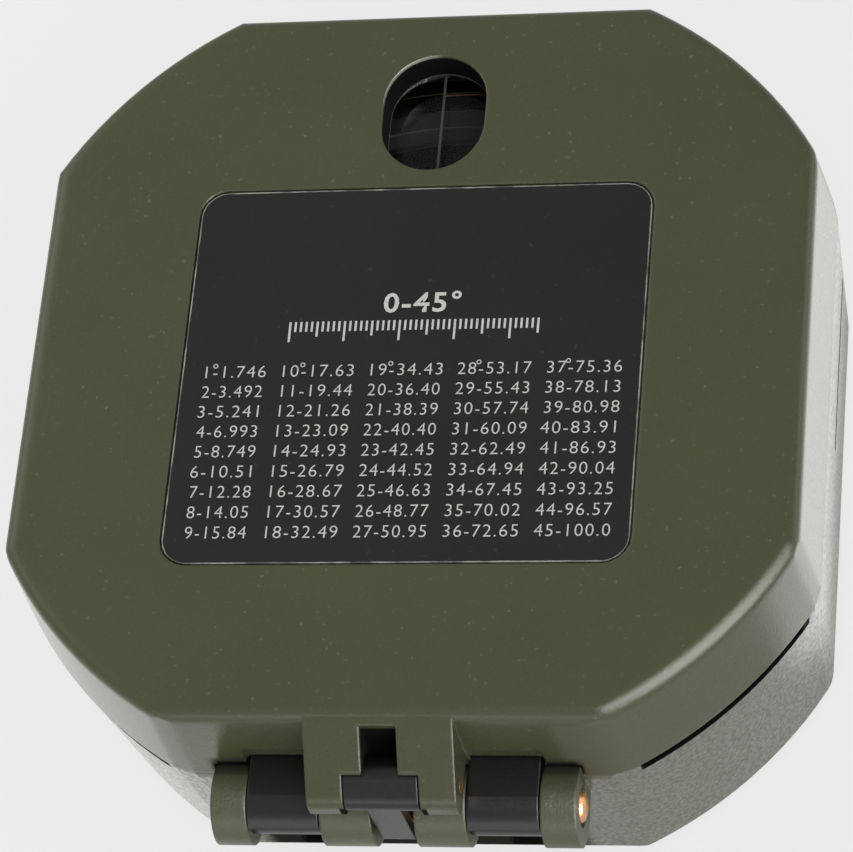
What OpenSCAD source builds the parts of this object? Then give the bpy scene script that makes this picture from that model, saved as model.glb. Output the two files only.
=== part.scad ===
// Pocket transit compass, closed: a case with a mirror lid, folding sights, needle and clinometer.
// Millimetres. X to the right, Y to the lid hinge at the rear, Z up, base bottom at zero.

/* [Case] */
// Half width of the lid's top face
case_half = 35; // [31:0.5:39]
// How far the round corners reach past the half width
corner_out = 4.9; // [4:0.1:6]
// How far the walls spread from the lid's top to the seam
draft = 0.7; // [0.3:0.1:1.2]
// How much narrower the foot is than the lid's top, on the flats
foot_in = 0.3; // [0:0.1:1]
// How much narrower the foot is than the lid's top, at the corners
foot_corner_in = 0.5; // [0:0.1:1]
// Rounding of the outer edges
edge_r = 1.1; // [0.6:0.1:1.8]
// How much is taken off where a flat wall meets a round corner
corner_ease = 0.25; // [0.1:0.05:0.4]
// Wall beside the glass, at the flats
wall_t = 3.5; // [3:0.1:4]
// Gap between base and lid at the seam
seam_gap = 0.15; // [0.1:0.05:0.3]
// Length of the groove in each side wall
groove_l = 17.5; // [12:0.5:22]
// Height of the groove's opening
groove_w = 0.8; // [0.5:0.1:1.5]
// Depth of the groove
groove_d = 1.3; // [0.8:0.1:1.8]
// Height of the groove's middle above the foot
groove_z = 11; // [6:0.5:15]
// How far the groove's middle lies behind the case's middle
groove_y = 8.5; // [0:0.5:12]
// Length of the thumb gaps at the seam
thumb_l = 18.4; // [12:0.2:22]
// Height of the thumb gaps
thumb_h = 1.1; // [0.5:0.1:1.2]
// Depth of the thumb gaps
thumb_d = 1.3; // [0.8:0.1:1.6]

/* [Lid] */
// Thickness of the lid's top
lid_t = 3.3; // [2.6:0.1:3.8]
// Room for the arm to swing between its ears and the mirror
swing_room = 1.2; // [1:0.1:3]
// Lid wall at the flats
lid_wall = 2; // [1.6:0.1:2.4]
// Width of the sighting window
window_w = 9.5; // [8:0.25:11]
// Length of the sighting window
window_l = 12; // [11:0.25:13.5]
// Distance from the window's middle to the lid's rear edge
window_edge = 10.75; // [10:0.25:13]
// How far the window's glass laps under its rim
window_lap = 0.7; // [0.4:0.1:1]
// Thickness of the window's glass
window_glass_t = 1.1; // [0.8:0.1:1.3]
// Width of the number plate
plate_w = 41.2; // [36:0.2:46]
// Length of the number plate
plate_l = 37; // [32:0.2:42]
// Thickness of the number plate
plate_t = 0.5; // [0.3:0.1:0.8]
// Corner radius of the number plate
plate_corner = 2.4; // [1.5:0.1:4]
// How deep the plate's face lies below the lid's top
plate_sink = 0.1; // [0:0.05:0.4]
// Gap between the number plate and its recess
plate_gap = 0.2; // [0.1:0.05:0.4]
// Rim between the plate's recess and the window
plate_rim = 1.65; // [1:0.05:3]
// Thickness of the mirror
mirror_t = 1.5; // [1.3:0.1:1.8]
// Width of the mirror's clamp ring
clamp_w = 1.85; // [1.2:0.05:2.4]
// Thickness of the mirror's clamp ring
clamp_t = 0.8; // [0.6:0.1:1]

/* [Sight hinge] */
// Radius of the lugs
lug_r = 3.6; // [3.2:0.1:4]
// Width of the outer lugs
lug_w = 3.1; // [2.5:0.1:4]
// Radius of the hinge pin
sight_pin_r = 1.45; // [1.2:0.05:1.6]
// Height of the pin's domed end
pin_dome = 0.5; // [0.2:0.1:0.8]
// How far the axis stands out from the lid's front edge
hinge_out = 3.1; // [2.8:0.1:3.5]
// How far the axis lies below the base's top
hinge_drop = 1; // [0.8:0.1:1.2]
// Width of each barrel of the arm
barrel_w = 6.2; // [5:0.1:7.5]
// Side gap between a barrel and its lugs
side_gap = 0.15; // [0.1:0.05:0.3]
// Half the gap between the two middle knuckles
knuckle_in = 1.9; // [1.7:0.1:2.4]
// Depth of the pockets behind the barrels
pocket_d = 2.4; // [1.5:0.1:2.6]
// Height of the lip below the pockets
pocket_lip = 0.9; // [0.6:0.1:1.5]

/* [Front sight] */
// Half width of the lid's tongue
tongue_half = 6.5; // [5.5:0.1:7.5]
// How far the tongue stands out from the lid's front edge
tongue_out = 6; // [5.4:0.1:6.8]
// Depth of the tongue below the front sight's axis
tongue_under = 1; // [0.8:0.1:1.3]
// Height of the middle of the tongue's rounded nose above the front sight's axis
tongue_over = 0.35; // [0.1:0.05:0.6]
// Rounding of the tongue's nose
nose_r = 1.5; // [1.2:0.05:1.8]
// Height of the shallow relief in the lid's wall above the arm's slots
relief_h = 2; // [1:0.1:2.5]
// Radius of the front sight's hood
sight_hood_r = 2.55; // [2.45:0.05:2.7]
// Radius of the front sight's eye
sight_eye_r = 1.4; // [1.2:0.05:1.55]
// Half width of the front sight's head
head_half = 3.2; // [2.8:0.1:3.6]
// Half width of the front sight's blade
blade_half = 1.45; // [1.2:0.05:1.6]
// Thickness of the blade
blade_t = 1; // [0.8:0.05:1.2]
// Length of the blade below its axis
blade_l = 6.7; // [5.5:0.1:7.5]
// Gap between the blade and the sight hinge pin
blade_gap = 0.35; // [0.3:0.05:0.5]
// Radius of the front sight pin
front_pin_r = 0.65; // [0.5:0.05:0.75]
// How far the front sight's axis stands out from the lid's front edge
flip_out = 3.6; // [3.3:0.1:4]
// Gap between the front sight's eye and the knuckles
flip_gap = 0.8; // [0.6:0.05:1.2]

/* [Lid hinge] */
// Radius of the knuckles
lid_lug_r = 3.2; // [2.8:0.1:3.6]
// Radius of the hinge pin
lid_pin_r = 1.3; // [1.1:0.05:1.5]
// How far the axis stands out from the lid's rear edge
rear_out = 2.6; // [2.4:0.1:3]
// How far the axis lies below the base's top
rear_drop = 1.3; // [1.1:0.1:1.5]
// Half width of the lid's knuckle
lid_knuckle_half = 9.8; // [8:0.1:12]
// Width of the base's lugs at the rear
rear_lug_w = 5; // [4:0.1:6]

/* [Sight arm] */
// Length of the sight arm from its pin
arm_l = 44; // [38:0.5:49]
// Half width of the arm's blade
arm_half = 6; // [5.2:0.1:6.8]
// Thickness of the arm
arm_t = 2.1; // [1.8:0.1:2.4]
// Gap between the arm and the base's top
arm_gap = 0.5; // [0.4:0.05:0.7]
// Length of the arm's two roots, to the far side of the cross bar
arm_root_l = 12; // [11:0.25:14]
// Width of the arm's cross bar
cross_w = 5; // [4:0.1:6]
// Half width of the long slot in the arm
arm_slot_half = 1.1; // [0.8:0.1:1.5]
// Length of the long slot in the arm
arm_slot_l = 17; // [12:0.5:19]
// Length of the peep tip
peep_l = 11; // [9:0.25:12]
// Thickness of the peep tip
peep_t = 1.2; // [1:0.1:1.4]
// Radius of the peep hole
peep_hole_r = 1.2; // [0.8:0.1:1.6]
// Radius of the peep tip's barrel
peep_eye_r = 1.05; // [0.95:0.05:1.15]
// Radius of the peep pin
peep_pin_r = 0.5; // [0.4:0.05:0.6]
// Width of the ears that hold the peep pin
ear_w = 1.4; // [1.1:0.1:1.6]
// Distance of the peep pin from the arm's end
peep_in = 4; // [3.5:0.1:5]

/* [Bowl] */
// Thickness of the bowl's floor
floor_t = 4.2; // [3.8:0.1:5]
// Depth of the recess for the clinometer lever
lever_recess = 2; // [1.7:0.1:2.3]
// Length of the clinometer lever
lever_l = 14.8; // [12:0.2:17]
// Radius of the clinometer lever's tip
lever_tip_r = 3.4; // [2.8:0.1:4]
// Half width of the clinometer lever
lever_half = 2.2; // [1.8:0.1:2.6]
// Radius of the clinometer spindle
spindle_r = 2.5; // [2.2:0.1:2.8]
// Wall of the bush around the spindle
bush_wall = 2.5; // [2:0.1:3]
// Thickness of the scale plate on the floor
scale_t = 0.4; // [0.3:0.05:0.6]
// Thickness of the level bracket
bracket_t = 1; // [0.8:0.1:1.3]
// Gap between the bracket's pointer and the bowl's wall
pointer_gap = 4.9; // [4.4:0.1:5.6]
// Radius of the level tube
vial_r = 1.9; // [1.6:0.05:2.2]
// Length of the level tube
vial_l = 21.2; // [18:0.2:24]
// Distance of the level tube from the middle
vial_y = 13.5; // [11.5:0.1:14.5]
// Wall of the tube's end caps
cap_t = 0.3; // [0.2:0.05:0.4]
// Width of each block that holds the tube
holder_w = 4.2; // [3:0.1:5]
// Height of each block that holds the tube
holder_t = 1.7; // [1.3:0.1:2]
// Radius of the round level's cup
cup_r = 5; // [4.4:0.1:5.6]
// Height of the round level's cup
cup_h = 3.1; // [2.7:0.1:3.5]
// Wall of the round level's cup
cup_wall = 0.8; // [0.6:0.1:1]

/* [Needle and glass] */
// Gap between the needle's tips and the degree ring
needle_gap = 0.8; // [0.5:0.1:2]
// Half width of the needle at its middle
needle_half_w = 1.7; // [1.4:0.1:2.1]
// Thickness of the needle
needle_t = 0.6; // [0.4:0.05:0.8]
// Radius of the needle's hub
hub_r = 2.6; // [2.3:0.1:2.9]
// Distance of the balance weight from the pivot
weight_y = 9.3; // [6:0.1:12]
// Length of the balance weight along the needle
weight_l = 1.8; // [1.2:0.1:2.4]
// Radius of the pivot post
post_r = 0.8; // [0.6:0.05:1]
// Width of the degree ring, to its pitch circle
ring_w = 5.4; // [4.5:0.1:6]
// Thickness of the degree ring
ring_t = 1.6; // [1.3:0.1:1.9]
// Ledge under the degree ring
ledge_w = 2.5; // [2:0.1:3]
// Room between the degree ring and the glass seat
needle_room = 2; // [1.8:0.1:3]
// Width of the glass seat
seat_w = 1.6; // [1.4:0.1:2]
// Thickness of the gasket under the glass
gasket_t = 0.8; // [0.6:0.1:1.1]
// Thickness of the glass
glass_t = 1.6; // [1.3:0.1:2]
// Gap between the glass and the case
glass_gap = 0.3; // [0.2:0.05:0.4]
// Width of the bezel
bezel_w = 2.4; // [2:0.1:3]
// Height of the bezel
bezel_t = 1.8; // [1.5:0.1:2.2]
// How far the bezel lies below the base's top
bezel_drop = 0.5; // [0.4:0.1:0.8]

/* [Needle lock] */
// Radius of the lock plunger
plunger_r = 1.2; // [1:0.1:1.4]
// Wall between the plunger and the glass seat
plunger_wall = 3.3; // [3:0.1:3.6]
// Thickness of the lifter lever
lifter_t = 0.8; // [0.6:0.1:1]
// Half width of the lifter lever
lifter_half = 1.6; // [1.3:0.1:1.8]
// Radius of the lifter lever's round end
lifter_end_r = 3; // [2.8:0.1:3.4]
// Distance of the lifter's pivot from the bowl's wall
fulcrum_in = 4.9; // [4.5:0.1:5.5]
// Radius of the lifter's pivot
fulcrum_r = 0.5; // [0.4:0.05:0.6]

/* [Fits] */
// Radial clearance of a turning pin or shaft
turn_fit = 0.04; // [0.02:0.01:0.06]
// Clearance of a piece that is set in place
set_fit = 0.02; // [0.01:0.01:0.04]
// Open gap between moving surfaces
open_gap = 0.3; // [0.25:0.05:0.35]

/* [Hidden] */
$fn = 96;
arc_steps = 5;
ring_teeth = 96;
pinion_teeth = 10;
pressure = 20;
far = 4 * case_half;
// Bowl levels, stacked from the floor up
scale_top = floor_t + scale_t;
bracket_z = scale_top + open_gap;
bracket_top = bracket_z + bracket_t;
vial_z = bracket_top + open_gap + vial_r;
level_top = vial_z + vial_r + cap_t;
lifter_z = level_top + open_gap;
lifter_top = lifter_z + lifter_t;
fulcrum_z = lifter_z - open_gap;
ring_z = lifter_top + open_gap + 0.1;
ring_seat_z = ring_z - 0.1;
ring_top = ring_z + ring_t;
needle_z = ring_z + ring_t / 2;
needle_top = needle_z + needle_t;
hub_top = needle_top + 0.9;
glass_seat_z = ring_top + needle_room;
glass_z = glass_seat_z + gasket_t;
bezel_z = glass_z + glass_t;
bezel_top = bezel_z + bezel_t;
base_h = bezel_top + bezel_drop;
lid_bottom = base_h + seam_gap;
// Lid levels, stacked from the base's top up
arm_low = base_h + arm_gap;
arm_top = arm_low + arm_t;
peep_z = arm_top + peep_eye_r + side_gap;
ear_r = peep_eye_r + 0.05;
mirror_z = peep_z + ear_r + swing_room;
lid_ceiling = mirror_z + mirror_t + 0.1;
case_h = lid_ceiling + lid_t;
// Lid and base outlines
corner_r = case_half + corner_out;
seam_half = case_half + draft;
seam_r = corner_r + draft;
base_half = seam_half - 0.05;
base_r = seam_r - 0.05;
foot_half = case_half - foot_in;
foot_r = corner_r - foot_corner_in;
corner_turn = acos(case_half / corner_r) / 2;
groove_wall = foot_half + (base_half - foot_half) * (groove_z - edge_r) / (base_h - edge_r);
groove_r = (groove_l * groove_l / 4 + groove_d * groove_d) / 2 / groove_d;
lid_hollow_r = case_half - lid_wall;
window_y = case_half - window_edge;
plate_y = window_y - window_l / 2 - plate_rim - plate_gap - plate_l / 2;
// Sight hinge at the front
sight_y = -(case_half + hinge_out);
sight_z = base_h - hinge_drop;
knuckle_out = tongue_half - 0.1;
barrel_in = tongue_half + 0.05;
barrel_out = barrel_in + barrel_w;
lug_in = barrel_out + side_gap;
lug_out = lug_in + lug_w;
hood_r = lug_r + 0.05;
eye_r = lug_r - 1;
root_end = sight_y + arm_root_l;
arm_end = sight_y + arm_l;
peep_y = arm_end - peep_in;
ear_out = arm_half - open_gap;
ear_in = ear_out - ear_w;
peep_half = ear_in - open_gap;
slot_top = arm_top + open_gap;
slot_out = barrel_out + side_gap + open_gap;
// Lid hinge at the rear
rear_y = case_half + rear_out;
rear_z = base_h - rear_drop;
rear_lug_in = lid_knuckle_half + 0.2;
rear_lug_out = rear_lug_in + rear_lug_w;
// Tongue and front sight
flip_y = -(case_half + flip_out);
flip_z = sight_z + lug_r + flip_gap + sight_eye_r;
tongue_front = -(case_half + tongue_out);
tongue_low = flip_z - tongue_under;
slope_top_y = -(case_half - 0.41 * edge_r);
slope_top_z = case_h - 0.24 * edge_r;
nose_y = tongue_front + nose_r;
nose_z = flip_z + tongue_over;
slope_run = slope_top_y - nose_y;
slope_rise = slope_top_z - nose_z;
slope_l = sqrt(slope_run * slope_run + slope_rise * slope_rise);
nose_turn = atan2(slope_rise, slope_run) + acos(nose_r / slope_l);
head_slot = head_half + side_gap;
blade_slot = blade_half + side_gap;
blade_back = sight_y - sight_pin_r - blade_gap;
blade_front = blade_back - blade_t;
// Bowl radii
glass_seat_r = case_half - wall_t;
glass_r = glass_seat_r - glass_gap;
ring_wall_r = glass_seat_r - seat_w;
bowl_r = ring_wall_r - ledge_w;
ring_pitch_r = ring_wall_r - 1.1;
module_size = 2 * ring_pitch_r / ring_teeth;
tooth_out = 0.92 * module_size;
tooth_in = 1.25 * module_size;
pinion_pitch_r = module_size * pinion_teeth / 2;
pinion_dist = ring_pitch_r + pinion_pitch_r;
plug_r = pinion_pitch_r + module_size;
ring_in_r = ring_pitch_r - ring_w;
needle_half = ring_in_r - needle_gap;
bush_r = spindle_r + bush_wall;
flange_r = bush_r + 0.7;
lever_r = lever_l + lever_tip_r + 0.8;
level_y = bush_r + cup_r + 0.6;
vial_half = vial_l / 2;
vial_cap_in = vial_half - 0.18;
holder_out = vial_cap_in - open_gap;
pointer_r = bowl_r - pointer_gap;
plunger_dist = glass_seat_r + plunger_wall + plunger_r;
fulcrum_dist = bowl_r - fulcrum_in;
cheek_in = lifter_half + open_gap;
cheek_out = cheek_in + 1;
weight_in = needle_half_w * (1 - (weight_y - weight_l / 2) / needle_half) + 0.15;
bore_r = post_r + 0.35;
bore_top = hub_top - 0.4;

function arc_points(cx, cy, r, a0, a1, n) =
    [for (i = [0 : n]) [cx + r * cos(a0 + (a1 - a0) * i / n), cy + r * sin(a0 + (a1 - a0) * i / n)]];

function round_rect(w, l, r) = concat(
    arc_points(w / 2 - r, l / 2 - r, r, 0, 90, arc_steps),
    arc_points(r - w / 2, l / 2 - r, r, 90, 180, arc_steps),
    arc_points(r - w / 2, r - l / 2, r, 180, 270, arc_steps),
    arc_points(w / 2 - r, r - l / 2, r, 270, 360, arc_steps));

function obround(w, l) = concat(
    arc_points(0, (l - w) / 2, w / 2, 0, 180, 24),
    arc_points(0, (w - l) / 2, w / 2, 180, 360, 24));

// Distance from the middle to the plane that eases a wall's corner.
function eased(half, r) =
    half * cos(corner_turn) + sqrt(r * r - half * half) * sin(corner_turn) - corner_ease;

function lid_side(low, high) =
    concat([[low, lid_bottom]], arc_points(high - edge_r, case_h - edge_r, edge_r, 0, 90, arc_steps));

function base_side(low, high) =
    concat(arc_points(low - edge_r, edge_r, edge_r, -90, 0, arc_steps), [[high, base_h]]);

function lid_plane(low, high) =
    [[low, lid_bottom - 1], [low, lid_bottom], [high, case_h - edge_r], [high, case_h + 1]];

function base_plane(low, high) = [[low, -1], [low, edge_r], [high, base_h], [high, base_h + 1]];

function mirrored(points) =
    concat(points, [for (i = [len(points) - 1 : -1 : 0]) [-points[i][0], points[i][1]]]);

function closed_half(points) =
    concat([[0, points[0][1]]], points, [[0, points[len(points) - 1][1]]]);

// Involute gear outline: half the tooth's angle at a radius, then the points of every tooth.
function involute(a) = tan(a) * 180 / PI - a;

function half_angle(r, pitch, thick) =
    thick / 2 / pitch * 180 / PI + involute(pressure) - involute(acos(min(1, pitch * cos(pressure) / r)));

function polar(r, a) = [r * cos(a), r * sin(a)];

function gear_points(teeth, radii, pitch, thick, turn) = [for (k = [0 : teeth - 1])
    each concat(
        [for (r = radii) polar(r, turn + 360 * k / teeth - half_angle(r, pitch, thick))],
        [for (j = [len(radii) - 1 : -1 : 0])
            polar(radii[j], turn + 360 * k / teeth + half_angle(radii[j], pitch, thick))])];

module along_x(x0, x1, y, z, r) {
    translate([x0, y, z])
        rotate([0, 90, 0])
            cylinder(h = x1 - x0, r = r);
}

module both_sides() {
    children();
    mirror([1, 0, 0])
        children();
}

module block(x0, x1, y0, y1, z0, z1) {
    translate([x0, y0, z0])
        cube([x1 - x0, y1 - y0, z1 - z0]);
}

module disc(r, z0, z1) {
    translate([0, 0, z0])
        cylinder(h = z1 - z0, r = r);
}

module ring(r_in, r_out, z0, z1) {
    difference() {
        disc(r_out, z0, z1);
        disc(r_in, z0 - 1, z1 + 1);
    }
}

module side_profile(half) {
    rotate([90, 0, 90])
        translate([0, 0, -half])
            linear_extrude(height = 2 * half)
                children();
}

// Case outline: a drafted square cut by a drafted round, with the corners between them eased.
module wall_prism(points, turn) {
    rotate([0, 0, turn])
        rotate([90, 0, 0])
            linear_extrude(height = far, center = true)
                polygon(mirrored(points));
}

module case_solid(square_points, round_points, eased_points) {
    intersection() {
        rotate_extrude()
            polygon(closed_half(round_points));
        wall_prism(square_points, 0);
        wall_prism(square_points, 90);
        wall_prism(eased_points, corner_turn);
        wall_prism(eased_points, -corner_turn);
        wall_prism(eased_points, 90 + corner_turn);
        wall_prism(eased_points, 90 - corner_turn);
    }
}

module thumb_gap() {
    rotate([0, 0, -45.5])
        intersection() {
            ring(seam_r - thumb_d, seam_r + 3, base_h - thumb_h, base_h + 1);
            block(0, far, -thumb_l / 2, thumb_l / 2, 0, far);
        }
}

module side_groove() {
    translate([groove_wall - groove_d + groove_r, groove_y, groove_z - groove_w / 2])
        cylinder(h = groove_w, r = groove_r);
}

module front_lug(x0, x1) {
    along_x(x0, x1, sight_y, sight_z, lug_r);
    block(x0, x1, sight_y, -case_half + 1.2, sight_z - lug_r + 0.4, base_h);
}

module rear_lug(x0, x1) {
    along_x(x0, x1, rear_y, rear_z, lid_lug_r);
    block(x0, x1, case_half - 1.2, rear_y, rear_z - lid_lug_r + 0.4, base_h);
}

module base_case() {
    color("#4d5038")
    difference() {
        union() {
            case_solid(base_side(foot_half, base_half), base_side(foot_r, base_r),
                base_plane(eased(foot_half, foot_r), eased(base_half, base_r)));
            both_sides() {
                front_lug(knuckle_in, knuckle_out);
                front_lug(lug_in, lug_out);
                rear_lug(rear_lug_in, rear_lug_out);
            }
        }
        disc(bowl_r, floor_t, far);
        disc(ring_wall_r, ring_seat_z, far);
        disc(glass_seat_r, glass_seat_z, far);
        disc(lever_r, -1, lever_recess);
        disc(bush_r, lever_recess - 1, floor_t + 1);
        along_x(-far, far, sight_y, sight_z, sight_pin_r + set_fit);
        along_x(lug_out - 0.35, far, sight_y, sight_z, sight_pin_r + 0.4);
        along_x(-far, -lug_out + 0.35, sight_y, sight_z, sight_pin_r + 0.4);
        along_x(-far, far, rear_y, rear_z, lid_pin_r + set_fit);
        both_sides() {
            along_x(knuckle_out, lug_in, sight_y, sight_z, hood_r + open_gap);
            block(knuckle_out, lug_in, -far, pocket_d - case_half, pocket_lip, sight_z);
            side_groove();
            thumb_gap();
        }
        along_x(-knuckle_in, knuckle_in, sight_y, sight_z, lug_r + open_gap);
        block(-knuckle_in, knuckle_in, -far, pocket_d - case_half, pocket_lip, sight_z);
        along_x(-head_slot, head_slot, flip_y, flip_z, sight_hood_r + open_gap);
        along_x(-rear_lug_in, rear_lug_in, rear_y, rear_z, lid_lug_r + open_gap);
        rotate([0, 0, 135]) {
            translate([plunger_dist, 0, lifter_z - 0.6])
                cylinder(h = far, r = plunger_r + turn_fit);
            block(bowl_r - 3, plunger_dist + plunger_r + 0.6, -lifter_half - 0.5, lifter_half + 0.5,
                lifter_z - 0.8, lifter_top + 0.9);
        }
        rotate([0, 0, -135])
            translate([pinion_dist, 0, 0])
                disc(plug_r + turn_fit, -1, ring_top + open_gap);
    }
}

module scale_plate() {
    color("#d8d6c8")
        ring(flange_r + 0.2, bowl_r - 0.15, floor_t, scale_top);
}

module clinometer_bush() {
    color("#b08d4a")
    difference() {
        union() {
            disc(bush_r - set_fit, lever_recess, floor_t);
            disc(flange_r, floor_t, scale_top);
        }
        disc(spindle_r + turn_fit, -1, far);
    }
}

module fulcrum_pin(half, r) {
    translate([fulcrum_dist, half, fulcrum_z])
        rotate([90, 0, 0])
            cylinder(h = 2 * half, r = r);
}

module lifter_post() {
    color("#b08d4a")
    rotate([0, 0, 135])
        union() {
            block(fulcrum_dist - 1.6, fulcrum_dist + 1.6, -cheek_out, cheek_out,
                scale_top, scale_top + 0.8);
            for (y = [cheek_in, -cheek_out])
                block(fulcrum_dist - 1.4, fulcrum_dist + 1.4, y, y + 1, scale_top + 0.2, lifter_top);
            fulcrum_pin(cheek_in + 0.5, fulcrum_r);
        }
}

module crystal_gasket() {
    color("#1d1d1d")
        ring(ring_wall_r + 0.3, glass_r, glass_seat_z, glass_z);
}

module crystal() {
    color("#dfe8ea", 0.35)
        disc(glass_r, glass_z, bezel_z);
}

module bezel() {
    color("#2a2b2a")
        rotate_extrude()
            polygon([[glass_r - bezel_w, bezel_z], [glass_seat_r - 0.06, bezel_z],
                [glass_seat_r - 0.06, bezel_top], [glass_r - bezel_w + 0.8, bezel_top],
                [glass_r - bezel_w, bezel_z + 0.7]]);
}

module domed_pin(x0, x1, y, z, r, dome) {
    translate([x0, y, z])
        rotate([0, 90, 0])
            rotate_extrude()
                polygon([[0, 0], [r, 0], [r, x1 - x0], [0.86 * r, x1 - x0 + 0.55 * dome],
                    [0.5 * r, x1 - x0 + 0.9 * dome], [0, x1 - x0 + dome]]);
}

module sight_pin() {
    color("#b87a3c")
        domed_pin(-lug_out + 0.1, lug_out - 0.1, sight_y, sight_z, sight_pin_r, pin_dome);
}

module lid_pin() {
    color("#b87a3c")
        along_x(-rear_lug_out - 0.2, rear_lug_out + 0.2, rear_y, rear_z, lid_pin_r);
}

module azimuth_ring() {
    color("#ebe8da")
    difference() {
        translate([0, 0, ring_z])
            linear_extrude(height = ring_t)
                polygon(gear_points(ring_teeth, [ring_pitch_r - tooth_in, ring_pitch_r + tooth_out],
                    ring_pitch_r, 1.33 * module_size, 0));
        disc(ring_in_r, ring_z - 1, ring_top + 1);
    }
}

module adjuster_screw() {
    color("#a9a59a")
    rotate([0, 0, -135])
        translate([pinion_dist, 0, 0])
            difference() {
                union() {
                    disc(plug_r, 0.2, ring_z - 0.2);
                    disc(pinion_pitch_r - 1.33 * module_size, ring_z - 0.4, ring_z + 0.1);
                    translate([0, 0, ring_z])
                        linear_extrude(height = ring_t)
                            polygon(gear_points(pinion_teeth,
                                [pinion_pitch_r - tooth_in, pinion_pitch_r - 0.25 * module_size,
                                    pinion_pitch_r + 0.42 * module_size, pinion_pitch_r + tooth_out],
                                pinion_pitch_r, 1.2 * module_size, 180 + 180 / pinion_teeth));
                }
                block(-far, far, -0.5, 0.5, -1, 1.4);
            }
}

module lock_plunger() {
    color("#b08d4a")
        rotate([0, 0, 135])
            translate([plunger_dist, 0, 0])
                disc(plunger_r, lifter_top + 0.1, base_h);
}

module lifter_lever() {
    color("#c2a05a")
    rotate([0, 0, 135])
        difference() {
            union() {
                block(lifter_end_r - 0.6, plunger_dist + plunger_r, -lifter_half, lifter_half,
                    lifter_z, lifter_top);
                disc(lifter_end_r, lifter_z, lifter_top);
                fulcrum_pin(lifter_half, 2 * fulcrum_r);
            }
            disc(2 * post_r, lifter_z - 1, lifter_top + 1);
            fulcrum_pin(cheek_out, fulcrum_r + turn_fit);
        }
}

module clinometer_lever() {
    color("#8d8c86")
    difference() {
        union() {
            disc(bush_r, 0.3, lever_recess - 0.2);
            block(-lever_half, lever_half, -lever_l, 0, 0.3, lever_recess - 0.2);
            translate([0, -lever_l, 0])
                disc(lever_tip_r, 0.3, lever_recess - 0.2);
        }
        disc(spindle_r + set_fit, -1, far);
    }
}

module clinometer_spindle() {
    color("#b8b4a8")
    difference() {
        disc(spindle_r, 0.4, bracket_top + 0.3);
        disc(post_r + set_fit, scale_top + 0.4, far);
    }
}

module level_bracket() {
    color("#c2a05a")
    difference() {
        union() {
            disc(bush_r, bracket_z, bracket_top + 0.3);
            translate([0, 0, bracket_z])
                linear_extrude(height = bracket_t)
                    polygon([[-cup_r, level_y], [cup_r, level_y], [bush_r - 0.6, 0],
                        [holder_out, 4 - vial_y], [holder_out, -vial_y - 3.5], [4, -vial_y - 4],
                        [0, -pointer_r], [-4, -vial_y - 4], [-holder_out, -vial_y - 3.5],
                        [-holder_out, 4 - vial_y], [0.6 - bush_r, 0]]);
            translate([0, level_y, 0])
                disc(cup_r + 0.2, bracket_z, bracket_top);
        }
        disc(spindle_r + set_fit, -1, far);
    }
}

module vial_holder() {
    color("#b08d4a")
    difference() {
        both_sides()
            block(holder_out - holder_w, holder_out, -vial_y - vial_r - 0.8, -vial_y + vial_r + 0.8,
                bracket_top, bracket_top + holder_t);
        along_x(-far, far, -vial_y, vial_z, vial_r + set_fit);
    }
}

module vial() {
    color("#c9e08a", 0.5)
        along_x(-vial_half, vial_half, -vial_y, vial_z, vial_r);
}

module vial_caps() {
    color("#b08d4a")
        both_sides()
            difference() {
                along_x(vial_cap_in, vial_half + 1.4, -vial_y, vial_z, vial_r + cap_t);
                along_x(0, vial_half + set_fit, -vial_y, vial_z, vial_r + set_fit);
            }
}

module round_level_cup() {
    color("#b08d4a")
    translate([0, level_y, 0])
        difference() {
            disc(cup_r, bracket_top, bracket_top + cup_h);
            disc(cup_r - cup_wall, bracket_top + cup_wall, far);
        }
}

module round_level_glass() {
    color("#c9e08a", 0.5)
        translate([0, level_y, 0])
            disc(cup_r - cup_wall - set_fit, bracket_top + cup_wall, bracket_top + cup_h + 0.2);
}

module pivot_post() {
    color("#c8c8c8") {
        disc(post_r, scale_top + 0.4, bore_top - 0.8);
        translate([0, 0, bore_top - 0.8])
            cylinder(h = 0.7, r1 = post_r, r2 = 0.1);
    }
}

module needle() {
    color("#e9e9e4")
    difference() {
        union() {
            translate([0, 0, needle_z])
                linear_extrude(height = needle_t)
                    polygon([[0, needle_half], [-needle_half_w, 0], [0, -needle_half], [needle_half_w, 0]]);
            disc(hub_r, needle_z - 0.5, hub_top);
        }
        disc(bore_r, needle_z - 2, bore_top);
    }
}

module needle_cap() {
    color("#b08d4a")
        translate([0, 0, hub_top])
            cylinder(h = 0.5, r1 = hub_r - 0.8, r2 = hub_r - 1.3);
}

module needle_weight() {
    color("#b08d4a")
    translate([0, -weight_y, 0])
        difference() {
            block(-weight_in - 0.7, weight_in + 0.7, -weight_l / 2, weight_l / 2,
                needle_z - 0.35, needle_top + 0.35);
            block(-weight_in, weight_in, -far, far, needle_z - set_fit, needle_top + set_fit);
        }
}

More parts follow.
